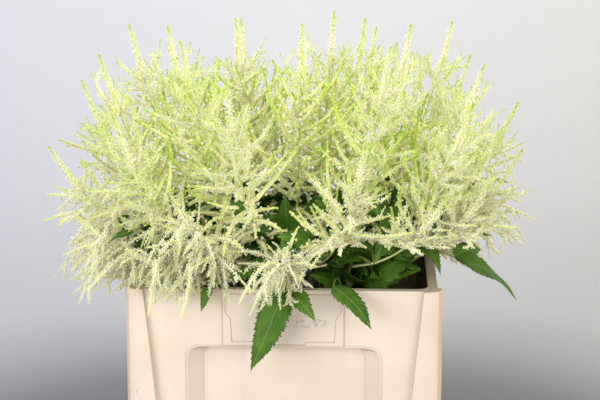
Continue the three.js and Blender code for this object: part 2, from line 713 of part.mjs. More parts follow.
/** The longest raceme with room to grow out of a face, or nothing. */
function findRaceme(plume, whorl, face, random) {
  const root = centroid(face);
  const out = face[1].clone().sub(face[0]).cross(face[2].clone().sub(face[0])).normalize();
  const along = plume.alongAt(AXIS_PLACES[whorl.ring]);
  const tilt = whorl.tilt + SWAY.tilt * (random() - 0.5);
  out.applyAxisAngle(along, SWAY.turn * (random() - 0.5));
  const wanted = whorl.reach * (1 + SWAY.reach * (random() - 0.5));
  for (let reach = wanted; reach >= SHORTEST_RACEME; reach *= RACEME_CUT) {
    const way = racemeWay(root, out, along, tilt, reach, whorl.radii.length + 1);
    const isFree = isClear(plume.name, [root, ...way], racemeRoom(whorl), floorGap);
    if (isFree) return { root, way, radii: whorl.radii };
  }
  return null;
}

for (const plume of plumes) plume.axis = [...AXIS_PLACES, 1].map(plume.axisAt);
for (const bunch of bunches) {
  for (const { stem, index } of bunch.members) occupy(bunch.name, stem, stem.map(() => STEM_RADIUS), index);
}
for (const { name, axis } of plumes) occupy(name, axis, axis.map(() => THIN_HEART));
[...LEAVES, ...RIM_TRIOS.map(rimLeaf), ...bunches.map(innerLeaf)].forEach(growLeaf);
for (const plume of plumes) {
  plume.rings = axisRings(plume);
  plume.racemes = new Map();
}
for (const { name, axis, rings } of plumes) {
  occupy(name, axis, [...rings.map((ring, k) => ring[0].distanceTo(axis[k])), TIP_RADIUS]);
}

// Outer whorls first, all plumes in turn, so that neighbours share the room between them.
for (const whorl of [...WHORLS].reverse()) {
  for (const plume of plumes) {
    const random = seeded(RACEME_SEED + WHORL_SEED * whorl.ring + plume.index);
    for (let i = 0; i < AXIS_CORNERS; i++) {
      const { rings } = plume;
      const next = rings[whorl.ring][(i + 1) % AXIS_CORNERS];
      const face = [rings[whorl.ring][i], next, rings[whorl.ring + 1][i]];
      const raceme = findRaceme(plume, whorl, face, random);
      if (!raceme) continue;
      plume.racemes.set(whorl.ring * AXIS_CORNERS + i, raceme);
      occupy(plume.name, [raceme.root, ...raceme.way], racemeRoom(whorl));
    }
  }
}

function plumeGeometry(plume) {
  const { rings } = plume;
  const [first, ...others] = rings[0];
  const faces = others.slice(1).map((corner, i) => [first, corner, others[i]]);
  growStack(faces, rings, plume.tip, (k, i, face) => {
    const raceme = plume.racemes.get(k * AXIS_CORNERS + i);
    if (!raceme) return false;
    const line = [raceme.root, ...raceme.way];
    const stack = [face];
    raceme.radii.forEach((radius, r) => {
      const direction = line[r + 2].clone().sub(line[r]).normalize();
      stack.push(nextRing(stack[r], line[r + 1], direction, radius));
    });
    growStack(faces, stack, line[line.length - 1]);
    return true;
  });
  return geometryOf(faces);
}

// ---------------------------------------------------------------------------------------------
// The object.

const MATERIALS = {
  container: { color: 0xf0dfc8, roughness: 0.5 },
  water: { color: 0xbfd0cc, roughness: 0.1 },
  leaf: { color: 0x3f7a2c, roughness: 0.55 },
  plume: { color: 0xe4ecb8, roughness: 0.8 },
};

const astilbe = new THREE.Group();

function addPiece(name, geometry, finish) {
  geometry.computeVertexNormals();
  const mesh = new THREE.Mesh(geometry, new THREE.MeshStandardMaterial(MATERIALS[finish]));
  mesh.name = name;
  astilbe.add(mesh);
}

/** The tied part of a bunch: a flute for each stem, standing on the container's floor. */
function bundleFaces({ centre, members }) {
  const count = 2 * members.length;
  const ring = (z) =>
    Array.from({ length: count }, (_, i) => {
      const angle = (2 * Math.PI * i) / count;
      const radius = BUNDLE_RADIUS - (i % 2) * BUNDLE_FLUTE;
      return v(centre.x + radius * Math.cos(angle), centre.y + radius * Math.sin(angle), z);
    });
  return loft([ring(SKIN + GAP), ring(BUNDLE_TOP)]);
}

/** A bunch's stems and leaves as one body, without the specks that joining leaves inside. */
function bunchSolid(bunch) {
  const stems = bunch.members.map(({ stem, alongAt }) =>
    rod(stem, stem.map(() => STEM_RADIUS), 3, alongAt(0)),
  );
  const stalks = bunch.leaves.map(({ stalk }) => rod(stalk, stalkRadii, 3));
  const blades = bunch.leaves.flatMap((leaf) => leaf.blades.map((blade) => bladeFaces(...blade)));
  const bodies = joined([bundleFaces(bunch), ...stems, ...stalks, ...blades].map(solidOf)).decompose();
  return bodies.reduce((most, body) => (body.volume() > most.volume() ? body : most));
}

addPiece("container", geometryOfSolid(containerSolid()), "container");
addPiece("water", geometryOfSolid(waterSolid()), "water");
for (const bunch of bunches) addPiece(bunch.name, geometryOfSolid(bunchSolid(bunch)), "leaf");
for (const plume of plumes) addPiece(plume.name, plumeGeometry(plume), "plume");

export default astilbe;
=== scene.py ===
# Bunches of white astilbe standing in water in a moulded plastic flower container.
# Metres, +Z up, with the container's underside on the floor and its front towards -Y.
import math
import random

import bmesh
import bpy
from mathutils import Matrix, Vector


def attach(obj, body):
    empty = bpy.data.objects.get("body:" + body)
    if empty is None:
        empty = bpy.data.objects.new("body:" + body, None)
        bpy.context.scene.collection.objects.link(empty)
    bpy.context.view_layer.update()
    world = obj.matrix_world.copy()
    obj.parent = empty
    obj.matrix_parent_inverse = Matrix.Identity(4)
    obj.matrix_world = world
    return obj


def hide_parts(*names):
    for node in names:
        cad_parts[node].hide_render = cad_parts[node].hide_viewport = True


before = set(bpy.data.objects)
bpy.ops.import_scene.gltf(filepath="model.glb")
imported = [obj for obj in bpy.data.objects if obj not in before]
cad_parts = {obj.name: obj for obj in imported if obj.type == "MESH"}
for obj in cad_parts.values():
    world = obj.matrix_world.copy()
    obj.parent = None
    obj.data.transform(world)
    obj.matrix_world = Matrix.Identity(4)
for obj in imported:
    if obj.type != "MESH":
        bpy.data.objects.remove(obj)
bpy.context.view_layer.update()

# --- Camera ---------------------------------------------------------------------------------
# A long lens two metres off, a little to the right of the middle and a little above the rim,
# so that the container is cut off below and the plumes have room above them.

camera_aim = Vector((0.021, -0.145, 0.433))
camera_distance = 2.0
camera_turn = math.radians(2.7)
camera_rise = math.radians(11)
camera_back = Vector(
    (
        math.sin(camera_turn) * math.cos(camera_rise),
        -math.cos(camera_turn) * math.cos(camera_rise),
        math.sin(camera_rise),
    )
)
camera_data = bpy.data.cameras.new("camera")
camera_data.sensor_width = 36
camera_data.lens = 99.8
camera = bpy.data.objects.new("camera", camera_data)
camera.location = camera_aim + camera_back * camera_distance
camera.rotation_euler = (-camera_back).to_track_quat("-Z", "Y").to_euler()
bpy.context.scene.collection.objects.link(camera)
bpy.context.scene.camera = camera
bpy.context.scene.view_settings.view_transform = "Standard"

# --- Sweep ----------------------------------------------------------------------------------
# A pale floor that curves up into a plain grey wall all round. Its paint holds painted shade, darker low
# down and lighter high up, and a painted cool light on its left and a painted warm light on its right.
# Seen from behind it is clear, so the near side never hides the plant.

sweep_floor = 0.5
sweep_bend = 0.7
sweep_height = 3.2
sweep_steps = 14
sweep_turns = 96
sweep_drop = 0.0006  # under the container's foot
# Painted shade: the grey of the paint by height, darker low down and lighter high up.
sweep_shade_greys = [
    # height, grey
    (0.0, 0.17),
    (0.012, 0.24),
    (0.03, 0.34),
    (0.07, 0.44),
    (0.25, 0.53),
    (0.56, 0.60),
    (1.3, 0.67),
]
sweep_cool_light = (0.965, 0.985, 1.075)  # painted cool light on its left
sweep_warm_light = (1.015, 1.005, 0.96)  # and painted warm light on its right
sweep_tint_reach = 0.7  # from the middle to where each is at its full strength


def link(name, mesh):
    """A new object for a finished mesh, at the origin."""
    piece = bpy.data.objects.new(name, mesh)
    bpy.context.scene.collection.objects.link(piece)
    return piece


def mesh_from(name, shape, smooth=True):
    """Writes a bmesh to a mesh, with smooth or flat faces."""
    for face in shape.faces:
        face.smooth = smooth
    mesh = bpy.data.meshes.new(name)
    shape.to_mesh(mesh)
    shape.free()
    return mesh


def principled(name):
    """A new material with its node tree, its Principled shader and its output."""
    material = bpy.data.materials.new(name)
    material.use_nodes = True
    tree = material.node_tree
    return material, tree, tree.nodes["Principled BSDF"], tree.nodes["Material Output"]


def add(tree, kind, inputs=None, **settings):
    """A node with its settings. An input is a value, or another node's output."""
    node = tree.nodes.new(kind)
    for key, value in settings.items():
        setattr(node, key, value)
    for key, value in (inputs or {}).items():
        if isinstance(value, bpy.types.NodeSocket):
            tree.links.new(value, node.inputs[key])
        else:
            node.inputs[key].default_value = value
    return node


def ramp(tree, factor, stops):
    """A colour ramp from (place, colour) stops."""
    node = add(tree, "ShaderNodeValToRGB", {"Fac": factor})
    elements = node.color_ramp.elements
    while len(elements) < len(stops):
        elements.new(0.5)
    for element, (place, colour) in zip(elements, stops):
        element.position = place
        element.color = (*colour, 1)
    return node.outputs["Color"]


def remap(tree, value, low, high, at_low=0.0, at_high=1.0):
    """A value's place between two limits, clamped."""
    limits = {"From Min": low, "From Max": high, "To Min": at_low, "To Max": at_high}
    return add(tree, "ShaderNodeMapRange", {"Value": value, **limits}).outputs["Result"]


def blend(tree, factor, under, over, mode="MIX"):
    """One colour over another. Each is a plain colour or another node's output."""
    layers = {}
    for key, colour in (("A", under), ("B", over)):
        layers[key] = (*colour, 1) if isinstance(colour, tuple) else colour
    node = add(tree, "ShaderNodeMix", {"Factor": factor, **layers}, data_type="RGBA", blend_type=mode)
    return node.outputs["Result"]


def math_of(tree, operation, *values):
    """One step of arithmetic on values or other nodes' outputs."""
    return add(tree, "ShaderNodeMath", dict(enumerate(values)), operation=operation).outputs[0]


profile = bmesh.new()
points = [Vector((0, 0, -sweep_drop))]
for step in range(sweep_steps + 1):
    bend = math.pi / 2 * step / sweep_steps
    across = sweep_floor + sweep_bend * math.sin(bend)
    points.append(Vector((across, 0, sweep_bend * (1 - math.cos(bend)) - sweep_drop)))
points.append(Vector((points[-1].x, 0, sweep_height)))
corners = [profile.verts.new(point) for point in points]
edges = [profile.edges.new(pair) for pair in zip(corners, corners[1:])]
bmesh.ops.spin(
    profile,
    geom=corners + edges,
    cent=(0, 0, 0),
    axis=(0, 0, 1),
    angle=2 * math.pi,
    steps=sweep_turns,
    use_merge=True,
)
bmesh.ops.remove_doubles(profile, verts=profile.verts, dist=1e-5)
bmesh.ops.recalc_face_normals(profile, faces=profile.faces)
if min(profile.faces, key=lambda face: face.calc_center_median().z).normal.z < 0:
    bmesh.ops.reverse_faces(profile, faces=profile.faces)
sweep = link("sweep", mesh_from("sweep", profile))

sweep_paint, tree, shader, output = principled("sweep_paint")
place = add(tree, "ShaderNodeTexCoord").outputs["Object"]
spot = add(tree, "ShaderNodeSeparateXYZ", {"Vector": place}).outputs
share = math_of(tree, "DIVIDE", spot["Z"], sweep_height)
# Painted shade by height, tinted with painted cool and warm light from left to right.
painted_shade = ramp(tree, share, [(z / sweep_height, (grey, grey, grey)) for z, grey in sweep_shade_greys])
to_right = remap(tree, spot["X"], -sweep_tint_reach, sweep_tint_reach)
light_tint = blend(tree, to_right, sweep_cool_light, sweep_warm_light)
tree.links.new(blend(tree, 1, painted_shade, light_tint, "MULTIPLY"), shader.inputs["Base Color"])
shader.inputs["Roughness"].default_value = 0.9
clear = add(tree, "ShaderNodeBsdfTransparent")
behind = add(tree, "ShaderNodeNewGeometry").outputs["Backfacing"]
mixed = add(tree, "ShaderNodeMixShader", {0: behind, 1: shader.outputs[0], 2: clear.outputs[0]})
tree.links.new(mixed.outputs[0], output.inputs["Surface"])
sweep.data.materials.append(sweep_paint)
sweep.visible_shadow = False

# --- Light ----------------------------------------------------------------------------------
# Two large soft boxes in front, a third overhead, and an even light from all round.

soft_boxes = [
    # name, place, aim, size, watts, colour
    ("left_box", (-1.7, -2.4, 0.9), (0, 0, 0.38), 1.8, 46, (1.0, 0.98, 0.95)),
    ("right_box", (1.9, -2.3, 0.75), (0, 0, 0.38), 1.8, 34.5, (1.0, 0.96, 0.92)),
    ("top_box", (0, -0.2, 2.6), (0, 0, 0.5), 1.8, 33, (1.0, 0.99, 0.97)),
]
world_colour = (0.9, 0.93, 1.0, 1)
world_strength = 0.65

for name, place, aim, size, watts, colour in soft_boxes:
    box = bpy.data.lights.new(name, "AREA")
    box.size = size
    box.energy = watts
    box.color = colour
    lamp = link(name, box)
    lamp.location = place
    lamp.rotation_euler = (Vector(aim) - Vector(place)).to_track_quat("-Z", "Y").to_euler()
    lamp.visible_camera = False

world = bpy.data.worlds.new("world")
bpy.context.scene.world = world
world.use_nodes = True
background = world.node_tree.nodes["Background"].inputs
background["Color"].default_value = world_colour
background["Strength"].default_value = world_strength

# --- Container ------------------------------------------------------------------------------
# A tall tub of cream polypropylene, injection moulded in one piece: thin tapered walls between
# four corner posts, a flat shelf round the mouth, and in each wall a sunk panel inside a moulded
# bead. Every edge is slightly rounded, with painted shade along the edges and on the posts, and
# dirt has settled on the posts.

container_height = 0.32
container_round = 0.0007  # radius of its edges
container_crease = math.radians(28)  # edges that turn more than this are rounded
flat_limit = math.radians(1)  # faces that turn less than this are one
edge_strength = 3  # how fast the painted shade grows with the turn of a rounded edge
wall_lean = 0.012
panel_foot = 0.045
panel_top = 0.246
panel_round = 0.013
bead_radius = 0.0011
bead_sides = 8
bead_corner_steps = 6
bead_outside = 0.0032  # from the edge of the sunk panel
# How much painted shade the bead takes, as on an outer edge.
bead_shade = 0.5
# A wall's turn from the front, how far out it is, half the length of its panel, and half the gap
# that the label plate leaves in the bead.
long_wall = {"turn": 0, "out": 0.139, "half": 0.1175, "gap": 0.0752}
short_wall = {"turn": math.pi / 2, "out": 0.189, "half": 0.075, "gap": 0}


def merged_solid(node):
    """A copy of a solid with its loose triangles joined."""
    solid = bmesh.new()
    solid.from_mesh(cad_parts[node].data)
    bmesh.ops.remove_doubles(solid, verts=solid.verts, dist=1e-6)
    return solid


def round_rod(sides, rings, taper):
    """A straight round rod along Z, one long and one thick, as a mesh to copy."""
    shape = bmesh.new()
    bmesh.ops.create_cone(
        shape,
        segments=sides,
        radius1=1,
        radius2=taper,
        depth=1,
        cap_ends=True,
        matrix=Matrix.Translation((0, 0, 0.5)),
    )
    uprights = [e for e in shape.edges if abs(e.verts[0].co.z - e.verts[1].co.z) > 0.5]
    bmesh.ops.subdivide_edges(shape, edges=uprights, cuts=rings - 1)
    return mesh_from("rod", shape)


def lay_along(shape, pattern, size, line, thick, turn):
    """Adds a copy of a straight pattern, size long, and bends it along a line."""
    first = len(shape.verts)
    shape.from_mesh(pattern)
    shape.verts.ensure_lookup_table()
    count = len(line) - 1
    steps = [b - a for a, b in zip(line, line[1:])]
    side = steps[0].orthogonal().normalized()
    side.rotate(Matrix.Rotation(turn, 3, steps[0]))
    sides, ups = [], []
    for step in steps:
        along = step.normalized()
        side = (side - along * side.dot(along)).normalized()
        sides.append(side * thick)
        ups.append(along.cross(side) * thick)
    for vert in shape.verts[first:]:
        x, y, z = vert.co
        far = z / size * count
        k = min(max(int(far), 0), count - 1)
        vert.co = line[k] + steps[k] * (far - k) + sides[k] * x + ups[k] * y


def bead_line(wall):
    """Points round the sunk panel of the front or right wall, on the wall's own lean."""
    half = wall["half"] + bead_outside
    low = panel_foot - bead_outside
    high = panel_top + bead_outside
    corner = panel_round + bead_outside
    outline = [(wall["gap"], high)]
    for quarter, (x, z) in enumerate([(half, high), (half, low), (-half, low), (-half, high)]):
        middle_x = x - math.copysign(corner, x)
        middle_z = z - math.copysign(corner, z - (low + high) / 2)
        for step in range(bead_corner_steps + 1):
            angle = math.pi / 2 * (1 - quarter - step / bead_corner_steps)
            outline.append((middle_x + corner * math.cos(angle), middle_z + corner * math.sin(angle)))
    outline.append((-wall["gap"], high))
    return [Vector((x, wall_lean * (1 - z / container_height) - wall["out"], z)) for x, z in outline]


tub = merged_solid("container")
bmesh.ops.dissolve_limit(
    tub,
    angle_limit=flat_limit,
    use_dissolve_boundaries=False,
    verts=tub.verts,
    edges=tub.edges,
)
made = bmesh.ops.bevel(
    tub,
    geom=[e for e in tub.edges if e.is_manifold and e.calc_face_angle() > container_crease],
    offset=container_round,
    offset_type="OFFSET",
    segments=3,
    profile=0.5,
    affect="EDGES",
    clamp_overlap=True,
    material=-1,
)
rounded = set(made["faces"])
hollow = tub.verts.layers.float.new("hollow")
ridge = tub.verts.layers.float.new("ridge")
for vert in tub.verts:
    if rounded.issuperset(vert.link_faces):
        angles = [e.calc_face_angle_signed(0) for e in vert.link_edges]
        vert[hollow] = min(max(-min(angles) * edge_strength, 0), 1)
        vert[ridge] = min(max(max(angles) * edge_strength, 0), 1)
moulding = bmesh.new()  # read in afresh, so that what is added comes last in its list of corners
moulding.from_mesh(mesh_from("plain_moulding", tub))
ridge = moulding.verts.layers.float["ridge"]
for wall in (long_wall, short_wall):
    line = bead_line(wall)
    bead = round_rod(bead_sides, len(line) - 1, taper=1)
    for opposite in (0, math.pi):
        turn = Matrix.Rotation(wall["turn"] + opposite, 3, "Z")
        first = len(moulding.verts)
        lay_along(moulding, bead, 1, [turn @ point for point in line], bead_radius, 0)
        for vert in moulding.verts[first:]:
            vert[ridge] = bead_shade
container = link("container_moulding", mesh_from("container_moulding", moulding))
shading = container.modifiers.new("even_shading", "WEIGHTED_NORMAL")
shading.keep_sharp = False

mottle = bpy.data.node_groups.new("mottle", "ShaderNodeTree")
for name, kind in (("Place", "Vector"), ("Scale", "Float"), ("Dark", "Color"), ("Light", "Color")):
    mottle.interface.new_socket(name, in_out="INPUT", socket_type=f"NodeSocket{kind}")
mottle.interface.new_socket("Colour", in_out="OUTPUT", socket_type="NodeSocketColor")
inlet = add(mottle, "NodeGroupInput").outputs
noise = add(mottle, "ShaderNodeTexNoise", {"Vector": inlet["Place"], "Scale": inlet["Scale"], "Detail": 5})
share = remap(mottle, noise.outputs["Fac"], 0.36, 0.64)
add(mottle, "NodeGroupOutput", {"Colour": blend(mottle, share, inlet["Dark"], inlet["Light"])})


def mottled(tree, place, scale, dark, light):
    """Patches of a darker and a lighter colour, so many to a metre."""
    group = add(tree, "ShaderNodeGroup", node_tree=mottle)
    tree.links.new(place, group.inputs["Place"])
    group.inputs["Scale"].default_value = scale
    group.inputs["Dark"].default_value = (*dark, 1)
    group.inputs["Light"].default_value = (*light, 1)
    return group.outputs["Colour"]


def noise_of(tree, place, scale, detail=4.0, stretch=(1, 1, 1)):
    """Plain noise, drawn out along an axis where stretch is less than 1."""
    drawn = add(tree, "ShaderNodeMapping", {"Vector": place, "Scale": stretch}).outputs["Vector"]
    noise = {"Vector": drawn, "Scale": scale, "Detail": detail}
    return add(tree, "ShaderNodeTexNoise", noise).outputs["Fac"]


cream = ((0.835, 0.707, 0.585), (0.893, 0.777, 0.655))  # in darker and lighter patches
flow_streak = (0.78, 0.66, 0.52)
hollow_shade_brown = (0.50, 0.36, 0.235)  # painted shade in the hollow edges
ridge_shade_brown = (0.66, 0.52, 0.38)  # and painted shade along the outer ones
post_shade_and_dirt_from = 0.152  # along the long walls, from the middle
post_shade_and_dirt_to = 0.192
post_shade = (0.93, 0.87, 0.84)  # painted shade: the posts catch more light, so they are painted darker
post_brown = (0.30, 0.24, 0.16)
speck_brown = (0.42, 0.31, 0.2)
scuff_grey = (0.42, 0.38, 0.33)  # what is left of the print on the label plate
scuff_middle = Vector((0.031, -0.14, 0.279))
scuff_half = Vector((0.03, 0.012, 0.009))

polypropylene, tree, shader, output = principled("cream_polypropylene")
place = add(tree, "ShaderNodeTexCoord").outputs["Object"]
spot = add(tree, "ShaderNodeSeparateXYZ", {"Vector": place}).outputs
colour = mottled(tree, place, 9, *cream)
streak = noise_of(tree, place, 70, detail=3, stretch=(1, 1, 0.03))
streak = remap(tree, streak, 0.5, 0.75, 0, 0.25)
colour = blend(tree, streak, colour, flow_streak)

edge_shade_noise = noise_of(tree, place, 160, detail=6)
hollow_shade = add(tree, "ShaderNodeAttribute", attribute_name="hollow").outputs["Fac"]
ridge_shade = add(tree, "ShaderNodeAttribute", attribute_name="ridge").outputs["Fac"]
# Painted shade in the hollow and along the outer rounded edges, broken up by noise.
hollow_shade = math_of(tree, "MULTIPLY", hollow_shade, remap(tree, edge_shade_noise, 0.25, 0.6, 0.55, 0.9))
ridge_shade = math_of(tree, "MULTIPLY", ridge_shade, remap(tree, edge_shade_noise, 0.3, 0.7, 0.1, 0.65))
colour = blend(tree, hollow_shade, colour, hollow_shade_brown)
colour = blend(tree, ridge_shade, colour, ridge_shade_brown)

from_middle = math_of(tree, "ABSOLUTE", spot["X"])
on_posts = remap(tree, from_middle, post_shade_and_dirt_from, post_shade_and_dirt_to)
# Painted shade on the posts, which catch more light than the walls.
colour = blend(tree, on_posts, colour, post_shade, "MULTIPLY")
low_down = remap(tree, spot["Z"], 0.31, 0.05, 0.25, 1)
flecks = remap(tree, noise_of(tree, place, 230, detail=5, stretch=(1, 1, 0.6)), 0.6, 0.68)
clouds = remap(tree, noise_of(tree, place, 22, detail=3, stretch=(1, 1, 0.4)), 0.5, 0.62)
post_dirt = math_of(tree, "MULTIPLY", math_of(tree, "MULTIPLY", on_posts, low_down), flecks)
post_dirt = math_of(tree, "MULTIPLY", post_dirt, clouds)
colour = blend(tree, post_dirt, colour, post_brown)

cells = add(tree, "ShaderNodeTexVoronoi", {"Vector": place, "Scale": 90}).outputs
chance = add(tree, "ShaderNodeSeparateColor", {"Color": cells["Color"]}).outputs[0]
speck = math_of(tree, "LESS_THAN", cells["Distance"], 0.085)
speck = math_of(tree, "MULTIPLY", speck, remap(tree, chance, 0.93, 0.97, 0, 0.55))
colour = blend(tree, speck, colour, speck_brown)

offset = add(tree, "ShaderNodeVectorMath", {0: place, 1: scuff_middle}, operation="SUBTRACT").outputs[0]
offset = add(tree, "ShaderNodeVectorMath", {0: offset, 1: scuff_half}, operation="DIVIDE").outputs[0]
away = add(tree, "ShaderNodeVectorMath", {0: offset}, operation="LENGTH").outputs["Value"]
smears = remap(tree, noise_of(tree, place, 210), 0.5, 0.56, 0, 0.55)
scuff = math_of(tree, "MULTIPLY", remap(tree, away, 1.0, 0.55), smears)
colour = blend(tree, scuff, colour, scuff_grey)

tree.links.new(colour, shader.inputs["Base Color"])
# Dirt, scuffs and the painted shade in the hollows are made rougher.
dirt_and_shade = math_of(tree, "MAXIMUM", math_of(tree, "MAXIMUM", post_dirt, scuff), hollow_shade)
tree.links.new(remap(tree, dirt_and_shade, 0, 1, 0.42, 0.8), shader.inputs["Roughness"])
grain = noise_of(tree, place, 1400, detail=2)
grain = math_of(tree, "ADD", grain, math_of(tree, "MULTIPLY", streak, 2))
relief = add(tree, "ShaderNodeBump", {"Height": grain, "Strength": 0.25, "Distance": 0.0002})
tree.links.new(relief.outputs["Normal"], shader.inputs["Normal"])
container.data.materials.append(polypropylene)
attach(container, "root")
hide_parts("container")

# --- Water ----------------------------------------------------------------------------------
# A few fingers of water over the floor of the container, a little cloudy from the cut stems.

water_green = (0.55, 0.62, 0.52, 1)

cloudy_water, tree, shader, output = principled("cloudy_water")
shader.inputs["Base Color"].default_value = water_green
shader.inputs["Roughness"].default_value = 0.04
shader.inputs["IOR"].default_value = 1.33
shader.inputs["Transmission Weight"].default_value = 0.8
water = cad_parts["water"]
water.data.materials.clear()
water.data.materials.append(cloudy_water)

# --- Plumes ---------------------------------------------------------------------------------
# Each stem ends in a feathery plume: a green axis that runs out into a fat creamy spike, with side
# branches all round it and sprigs on those. All are crowded with tiny five-petalled flowers, which
# open from the foot of a branch and end in a row of green buds.

plume_count = 43
branch_kinds = {
    # blossom: fat and creamy, open nearly to its tip. spray: slighter. budding: green-tipped.
    # hidden: coarse, for deep inside. A kind has the radius and the sides of its core, the share of
    # it that is open, the step from flower to flower, and the length and width of a petal.
    "blossom": {"core": 0.0024, "sides": 5, "open": 0.86, "step": 0.00065, "petal": (0.003, 0.0012)},
    "spray": {"core": 0.0015, "sides": 4, "open": 0.74, "step": 0.00095, "petal": (0.0027, 0.0013)},
    "budding": {"core": 0.0012, "sides": 4, "open": 0.5, "step": 0.001, "petal": (0.0022, 0.0011)},
    "hidden": {"core": 0.0038, "sides": 4, "open": 0.7, "step": 0.0045, "petal": (0.005, 0.0026)},
}
branch_lengths = [0.016, 0.026, 0.04, 0.06, 0.09]
branch_copies = 3  # of each kind and length, all different
branch_steps = 8

core_tip = 0.35  # of its radius at the root
core_foot = 0.45  # of its radius, at the cut end
core_lumps = (0.7, 1.25)
core_step = 0.0065  # between the rings of a core
core_jog = 0.2  # of a step, that a ring moves up or down
core_ripeness = 0.3
# a low tone gives the core painted shade between its flowers
core_shade_tone = 0.1

flower_turn = math.radians(137.5)
flower_jog = 0.5
greening = 0.35  # flowers turn green from this share of a branch before its first buds
budding_over = 0.2  # flowers give way to buds over this share of a branch
petal_length_spread = (0.6, 1.4)
petal_width_spread = (0.8, 1.2)
petal_rise = (-0.4, 0.9)  # from hanging to pointing along the branch
petal_sink = 0.8  # petals start this share of the way out to the skin of the core
petal_tone = (0.4, 1)
tip_shorter = 0.5  # a petal at the tip of a branch, by these shares
tip_narrower = 0.25
bud_shorter = 0.3
bud_wider = 0.1
bud_rise = 0.8
bud_sink = 0.3
root_greener = 0.3  # the root of a petal
# painted shade at the root of a petal, where it meets the core
root_shade = 0.35

axis_radius = 0.0018
axis_taper = 0.35
axis_ripeness = 0.95
axis_tone = 0.3
axis_below = 0.85  # it starts this share of the way down from a plume's foot to the rim
spine_steps = 48
spike_length = 0.075  # the end of an axis, with flowers but no branches
spike_thickness = 1.35
curl = 0.07  # how far the tip of a level plume turns up,
curl_span = 0.14  # over this stretch
curl_spread = (0.4, 1)

creamy_share = 0.35  # of the long branches
long_sway = 0.28  # how far the end of a long branch bends aside, as a share of its length
long_droop_spread = (0.4, 1.4)
bare_end = 0.07  # long branches that end this near the tip are shorter and have no sprigs
bare_steps = 5

side_branches = 31
side_crowding = 1.15  # 1 spaces them evenly, more crowds them towards the tip
side_start = 0.07  # they start this far below the tip,
side_full = (0.02, 0.11)  # and grow to their full reach between these two
side_reach = (0.02, 0.05)
side_reach_spread = (0.7, 1.2)
side_tilt = (55, 70)  # degrees from the axis, near the tip and lower down
side_tilt_below = (0.04, 0.14)
side_tilt_spread = 15
side_turn_spread = 0.6

sprigs = 3
sprig_from = 0.12  # of the way along a branch
sprig_span = 0.65
sprig_reach = 0.015
sprig_reach_spread = (0.6, 1.2)
sprig_tilt = (35, 75)  # degrees from its branch

shoot_points = (0, 0.33, 0.67, 1)  # along a side branch or a sprig
shoot_sway = 0.5
shoot_along = 0.5  # how far its end bends on along its stalk
shoot_droop_spread = (0.4, 1.6)
hang = 0.8  # how far the end of a low branch hangs down, as a share of its length
upturn = 0.22  # and how far the end of a high one turns up
hang_height = (0.49, 0.38)  # from where branches turn up to where they hang

high_youth = 0.45  # share of branches still in bud on the highest plumes
youth_height = (0.4, 0.56)  # it grows between these heights
youth_spread = (-0.1, 0.3)

mass_middle = 0.4  # height of the widest part of all the plumes together
mass_reach = (0.3, 0.235, 0.235)
mass_squareness = 3  # 2 would make it an ellipsoid
low_narrowing = 0.32  # how much narrower it is at the rim
hidden_depth = 0.3  # deeper down, the flowers are coarse and the branches have no sprigs

leafy_side = (0.19, -0.14)  # the leaves show round this place, so no branch hangs there
leafy_reach = 0.2  # from its middle to where the branches hang as elsewhere
leafy_lift = 0.385  # the lowest that a branch comes there

rim_length = 0.39
rim_width = 0.29
rim_clear = 0.327  # side branches keep over this height above the rim,
hang_slope = 1.2  # and hang lower outside it
hang_lowest = 0.309
neck_reach = (0.144, 0.097)
neck_height = 0.334
neck_corners = 0.7  # 1 gives an oval plan, less gives a squarer one
golden_turn = math.pi * (3 - math.sqrt(5))


def neck_of(index):
    """Where a stem passes the rim: the stems fill the mouth in a sunflower pattern."""
    inward = math.sqrt((index + 0.5) / plume_count)
    turn = index * golden_turn
    across, along = [
        math.copysign(abs(share) ** neck_corners, share) for share in (math.cos(turn), math.sin(turn))
    ]
    return Vector((neck_reach[0] * inward * across, neck_reach[1] * inward * along, neck_height))


necks = [neck_of(index) for index in range(plume_count)]


def ease(low, high, value):
    """0 below low, 1 above high, and smooth between."""
    share = min(max((value - low) / (high - low), 0), 1)
    return share * share * (3 - 2 * share)


